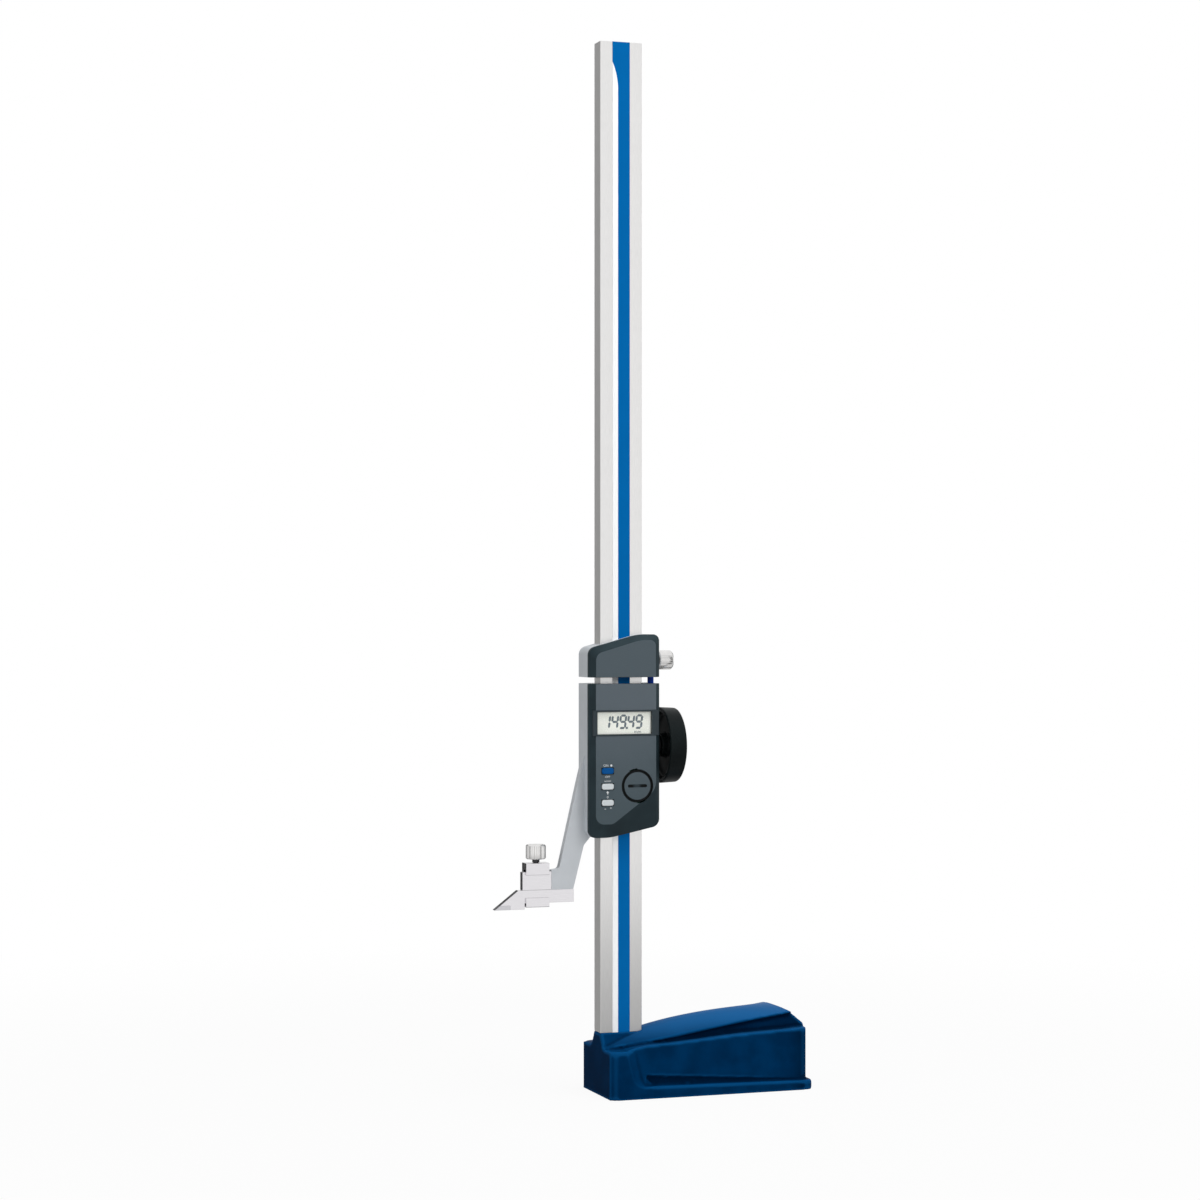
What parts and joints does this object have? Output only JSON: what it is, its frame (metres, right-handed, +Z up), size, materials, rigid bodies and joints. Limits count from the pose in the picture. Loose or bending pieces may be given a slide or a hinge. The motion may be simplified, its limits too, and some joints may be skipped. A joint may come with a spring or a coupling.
{
  "type": "height gauge",
  "caption": "Digital height gauge: cast base with hand grip, ground column, display slider with arm and clamped scriber, fine-feed handwheel and locking head.",
  "frame": {"origin": "the column's axis at the underside of the base", "axes": "+X back along the base, away from the scriber; -Y towards the display; +Z up along the column"},
  "size_m": [0.2592, 0.072, 0.839],
  "materials": {
    "cast_blue": "semi-gloss dark blue paint",
    "ground_steel": "ground along the column",
    "scale_film": "printed film",
    "cover_print": "printed blue and white",
    "silver_cast": "matt silver",
    "brass": "machined",
    "dark_steel": "blackened",
    "housing_grey": "fine moulded texture",
    "bezel_grey": "smooth moulded",
    "clear_window": "clear",
    "display_face": "liquid crystal panel",
    "white_plastic": "moulded",
    "board_green": "solder mask",
    "rubber_grey": "silicone",
    "cell_steel": "bright",
    "button_blue": "moulded",
    "button_white": "moulded",
    "wheel_black": "moulded, slight sheen",
    "knurl_steel": "nickel plated",
    "hard_steel": "ground",
    "carbide": "ground hard metal",
    "blue_steel": "dark blue",
    "pad_plastic": "moulded"
  },
  "bodies": {
    "stand": {"base_casting": "cast_blue", "column": "ground_steel", "scale_strip": "scale_film", "scale_cover": "cover_print", "column_bolts": "dark_steel"},
    "slider": {"slider_frame": "silver_cast", "gib_strip": "brass", "gib_screws": "dark_steel", "display_housing": "housing_grey", "housing_screws": "dark_steel", "display_bezel": "bezel_grey", "display_window": "clear_window", "display_spacer": "clear_window", "display_panel": "display_face", "display_holder": "white_plastic", "circuit_board": "board_green", "sensor_board": "board_green", "button_mat": "rubber_grey", "coin_cell": "cell_steel", "cell_contact": "brass", "shaft_bush": "dark_steel", "jaw_block": "hard_steel"},
    "button_blue": {"button_blue": "button_blue"},
    "button_upper": {"button_upper": "button_white"},
    "button_lower": {"button_lower": "button_white"},
    "battery_cover": {"battery_cover": "housing_grey"},
    "handwheel": {"handwheel": "wheel_black", "pinion_shaft": "hard_steel", "wheel_screw": "dark_steel"},
    "clamp": {"clamp_frame": "hard_steel"},
    "clamp_screw": {"clamp_screw": "knurl_steel"},
    "scriber": {"scriber_bar": "hard_steel", "scriber_tip": "carbide"},
    "head": {"head_frame": "silver_cast", "head_cover": "housing_grey", "head_screws": "dark_steel", "rack_rod": "blue_steel", "lock_pad": "pad_plastic"},
    "lock_screw": {"lock_screw": "knurl_steel"}
  },
  "joints": [
    {"name": "slider_travel", "type": "slide", "parent": "stand", "child": "slider", "axis": [0, 0, 1], "range_m": [-0.14949, 0.45051]},
    {"name": "head_feed", "type": "slide", "parent": "slider", "child": "head", "axis": [0, 0, 1], "range_m": [-0.0045, 0.006]},
    {"name": "handwheel_turn", "type": "hinge", "parent": "slider", "child": "handwheel", "pos_m": [0.0343, 0, 0.2775], "axis": [1, 0, 0], "range_deg": [-72, 54]},
    {"name": "lock_screw_turn", "type": "hinge", "parent": "head", "child": "lock_screw", "pos_m": [0.033, 0, 0.3458], "axis": [1, 0, 0], "range_deg": [0, 270]},
    {"name": "clamp_screw_turn", "type": "hinge", "parent": "slider", "child": "clamp_screw", "pos_m": [-0.069, 0, 0.179], "axis": [0, 0, 1], "range_deg": [0, 360]},
    {"name": "clamp_release", "type": "slide", "parent": "slider", "child": "clamp", "axis": [0, 0, -1], "range_m": [0, 0.0008]},
    {"name": "scriber_slide", "type": "slide", "parent": "slider", "child": "scriber", "axis": [-1, 0, 0], "range_m": [0, 0.015]},
    {"name": "button_blue_press", "type": "slide", "parent": "slider", "child": "button_blue", "axis": [0, 1, 0], "range_m": [0, 0.0006], "stiffness_N_per_m": 800, "springref_m": -0.0004},
    {"name": "button_upper_press", "type": "slide", "parent": "slider", "child": "button_upper", "axis": [0, 1, 0], "range_m": [0, 0.0006], "stiffness_N_per_m": 800, "springref_m": -0.0004},
    {"name": "button_lower_press", "type": "slide", "parent": "slider", "child": "button_lower", "axis": [0, 1, 0], "range_m": [0, 0.0006], "stiffness_N_per_m": 800, "springref_m": -0.0004},
    {"name": "battery_cover_turn", "type": "hinge", "parent": "slider", "child": "battery_cover", "pos_m": [0.0095, -0.0195, 0.2463], "axis": [0, -1, 0], "range_deg": [0, 60]}
  ],
  "couplings": [
    {"joint": "handwheel_turn", "follows": "head_feed", "rad_per_m": -208.33},
    {"joint": "clamp_release", "follows": "clamp_screw_turn", "m_per_rad": 0.00011141}
  ]
}
